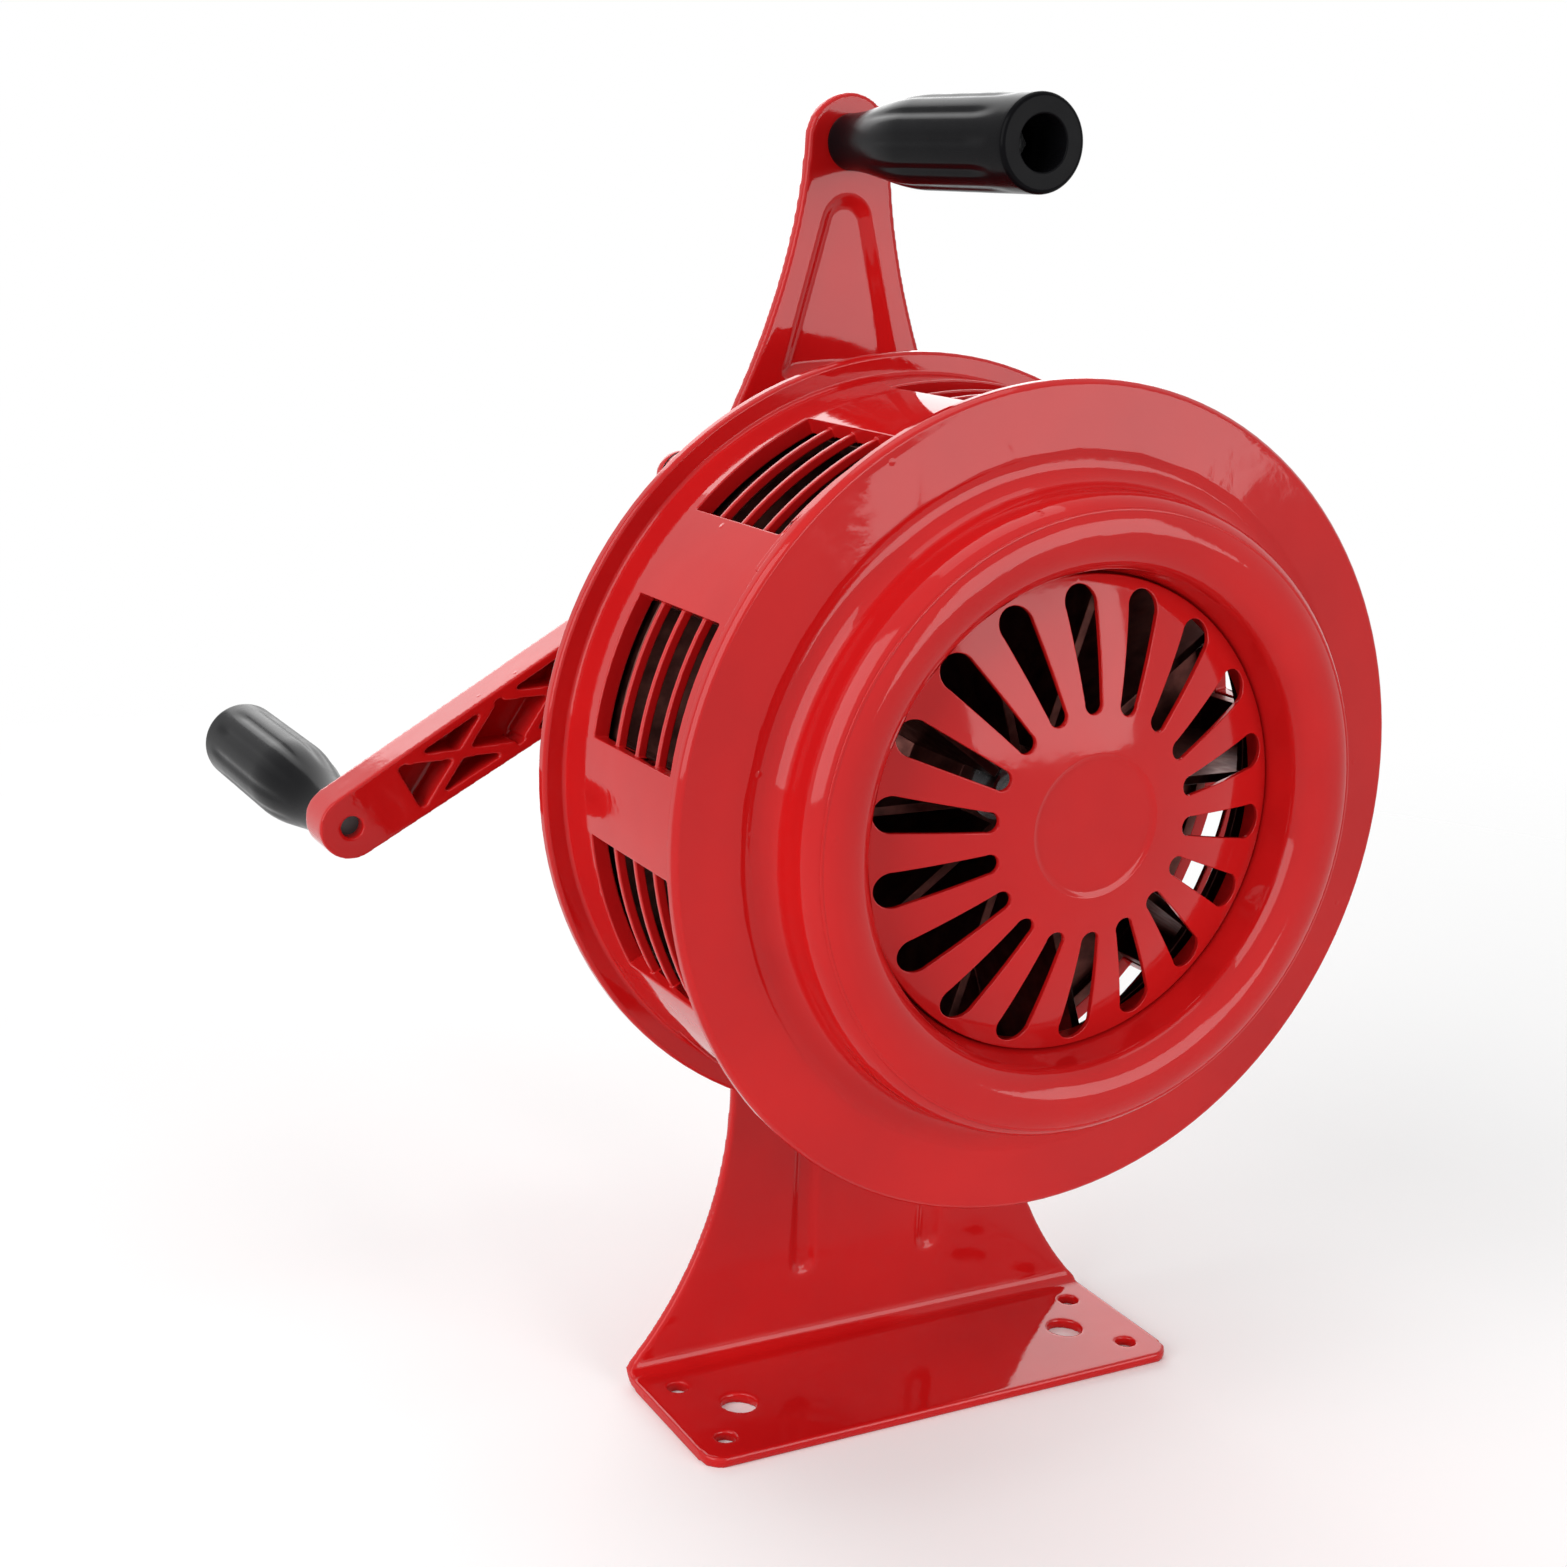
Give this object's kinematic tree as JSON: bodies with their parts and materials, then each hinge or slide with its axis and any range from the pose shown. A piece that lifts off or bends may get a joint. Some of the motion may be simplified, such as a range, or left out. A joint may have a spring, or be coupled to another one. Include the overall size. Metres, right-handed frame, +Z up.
{
  "type": "hand crank siren",
  "caption": "Hand crank siren: a geared rotor in a louvred drum with a front horn and grille, turned by a long crank, on a pressed plate stand with a carrying arm and grip.",
  "frame": {"origin": "middle of the foot's hole pattern, on the foot's flat underside", "axes": "+Z up through the foot holes; the siren's axis lies along Y, the horn faces -Y and the crank is at +Y; X is the foot's width"},
  "size_m": [0.2515, 0.2657, 0.35],
  "materials": {
    "red_casting": "gloss red enamel over cast aluminium",
    "red_steel": "gloss red enamel over steel",
    "zinc_steel": "satin bright zinc plate over steel",
    "ground_steel": "satin ground steel",
    "dark_steel": "satin oiled steel",
    "bronze": "satin sintered bronze",
    "black_plastic": "gloss black plastic",
    "black_casting": "matte black paint over cast aluminium",
    "gasket_rubber": "matte dark gasket sheet"
  },
  "bodies": {
    "siren_body": {"stand_bracket": "red_steel", "stand_bolts": "zinc_steel", "siren_housing": "red_casting", "front_horn": "red_casting", "horn_screws": "red_steel", "intake_grille": "red_steel", "grille_rivets": "zinc_steel", "gear_cover": "red_casting", "cover_gasket": "gasket_rubber", "cover_screws": "zinc_steel", "carry_grip": "black_plastic", "carry_grip_screw": "zinc_steel", "carry_grip_nut": "zinc_steel", "crank_bushes": "bronze", "idler_bushes": "bronze", "bearing_outer_rings": "ground_steel", "bearing_balls": "ground_steel", "bearing_circlip": "dark_steel"},
    "crank": {"crank_shaft": "ground_steel", "crank_gear": "dark_steel", "crank_keys": "dark_steel", "crank_thrust_washer": "dark_steel", "crank_circlip": "dark_steel", "crank_spacer": "dark_steel", "crank_arm": "red_casting", "crank_washer": "zinc_steel", "crank_nut": "zinc_steel", "crank_cap": "red_steel", "crank_grip_screw": "zinc_steel", "crank_grip_washer": "zinc_steel"},
    "crank_grip": {"crank_grip": "black_plastic"},
    "idler": {"idler_shaft": "ground_steel", "idler_gear": "dark_steel", "idler_pinion": "dark_steel"},
    "rotor": {"rotor_shaft": "ground_steel", "bearing_inner_rings": "ground_steel", "rotor_pinion": "dark_steel", "siren_rotor": "black_casting", "rotor_washer": "zinc_steel", "rotor_nut": "zinc_steel"}
  },
  "joints": [
    {"name": "crank_turn", "type": "hinge", "parent": "siren_body", "child": "crank", "pos_m": [0, 0, 0.2282], "axis": [0, 1, 0], "continuous": true},
    {"name": "crank_grip_spin", "type": "hinge", "parent": "crank", "child": "crank_grip", "pos_m": [-0.13396, 0, 0.15023], "axis": [0, 1, 0], "continuous": true},
    {"name": "idler_turn", "type": "hinge", "parent": "siren_body", "child": "idler", "pos_m": [0.01999, 0, 0.18788], "axis": [0, 1, 0], "continuous": true},
    {"name": "rotor_spin", "type": "hinge", "parent": "siren_body", "child": "rotor", "pos_m": [0, 0, 0.1787], "axis": [0, 1, 0], "continuous": true}
  ],
  "couplings": [
    {"joint": "idler_turn", "follows": "crank_turn", "ratio": -6.5},
    {"joint": "rotor_spin", "follows": "crank_turn", "ratio": 19.5}
  ]
}
